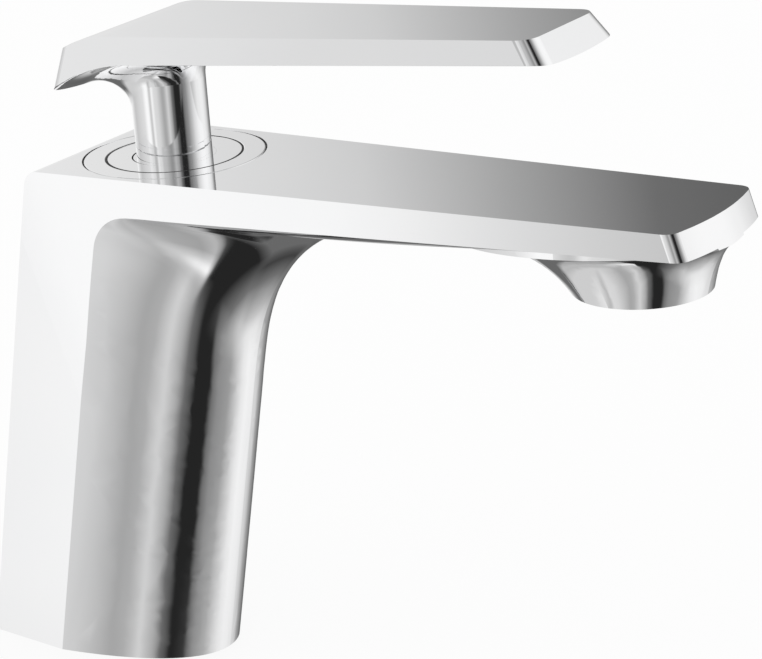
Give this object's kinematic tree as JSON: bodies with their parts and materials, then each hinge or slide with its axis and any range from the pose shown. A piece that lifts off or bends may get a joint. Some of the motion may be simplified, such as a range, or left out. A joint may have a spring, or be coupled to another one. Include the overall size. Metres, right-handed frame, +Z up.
{
  "type": "single-lever basin mixer",
  "caption": "Chrome single-lever basin mixer with a leaning slab column, a long flat spout, a round outlet and a tapered lever on a round stem.",
  "frame": {"origin": "middle of the column's base on the counter, in the mirror plane", "axes": "+X towards the spout's tip, +Y to the side (the mirror plane is XZ), +Z up from the counter"},
  "size_m": [0.1706, 0.0444, 0.1586],
  "materials": {
    "polished_chrome": "polished mirror plating on brass",
    "machined_brass": "turned, unplated",
    "stainless_steel": "turned",
    "white_plastic": "moulded acetal",
    "grey_plastic": "moulded, satin",
    "ceramic": "lapped alumina",
    "black_rubber": "moulded"
  },
  "bodies": {
    "faucet_body": {"body": "polished_chrome", "base_gasket": "black_rubber", "cover_ring": "polished_chrome", "slide_ring": "white_plastic", "retaining_nut": "machined_brass", "cartridge_housing": "white_plastic", "cartridge_o_ring": "black_rubber", "fixed_ceramic_disc": "ceramic", "cartridge_base": "grey_plastic", "port_seals": "black_rubber", "aerator_washer": "black_rubber", "aerator_housing": "polished_chrome", "aerator_core": "white_plastic", "aerator_screen": "stainless_steel"},
    "rotor": {"lever_guide": "grey_plastic", "lever_pin": "stainless_steel"},
    "lever": {"handle": "polished_chrome", "lever_spindle": "stainless_steel", "set_screw": "stainless_steel", "screw_plug": "grey_plastic"},
    "sliding_cover": {"cover_disc": "polished_chrome"},
    "disc_drive": {"disc_carrier": "grey_plastic", "moving_ceramic_disc": "ceramic"}
  },
  "joints": [
    {"name": "temperature_swivel", "type": "hinge", "parent": "faucet_body", "child": "rotor", "pos_m": [0.01248, 0, 0.11543], "axis": [-0.0882, 0, 0.9961], "range_deg": [-45, 45]},
    {"name": "flow_lift", "type": "hinge", "parent": "rotor", "child": "lever", "pos_m": [0.01323, 0, 0.10687], "axis": [0, -1, 0], "range_deg": [0, 20]},
    {"name": "cover_slide", "type": "slide", "parent": "rotor", "child": "sliding_cover", "axis": [-0.9961, 0, -0.0882], "range_m": [0, 0.00266]},
    {"name": "disc_slide", "type": "slide", "parent": "rotor", "child": "disc_drive", "axis": [0.9961, 0, 0.0882], "range_m": [0, 0.00336]}
  ],
  "couplings": [
    {"joint": "cover_slide", "follows": "flow_lift", "m_per_rad": 0.0076},
    {"joint": "disc_slide", "follows": "flow_lift", "m_per_rad": 0.0096}
  ]
}
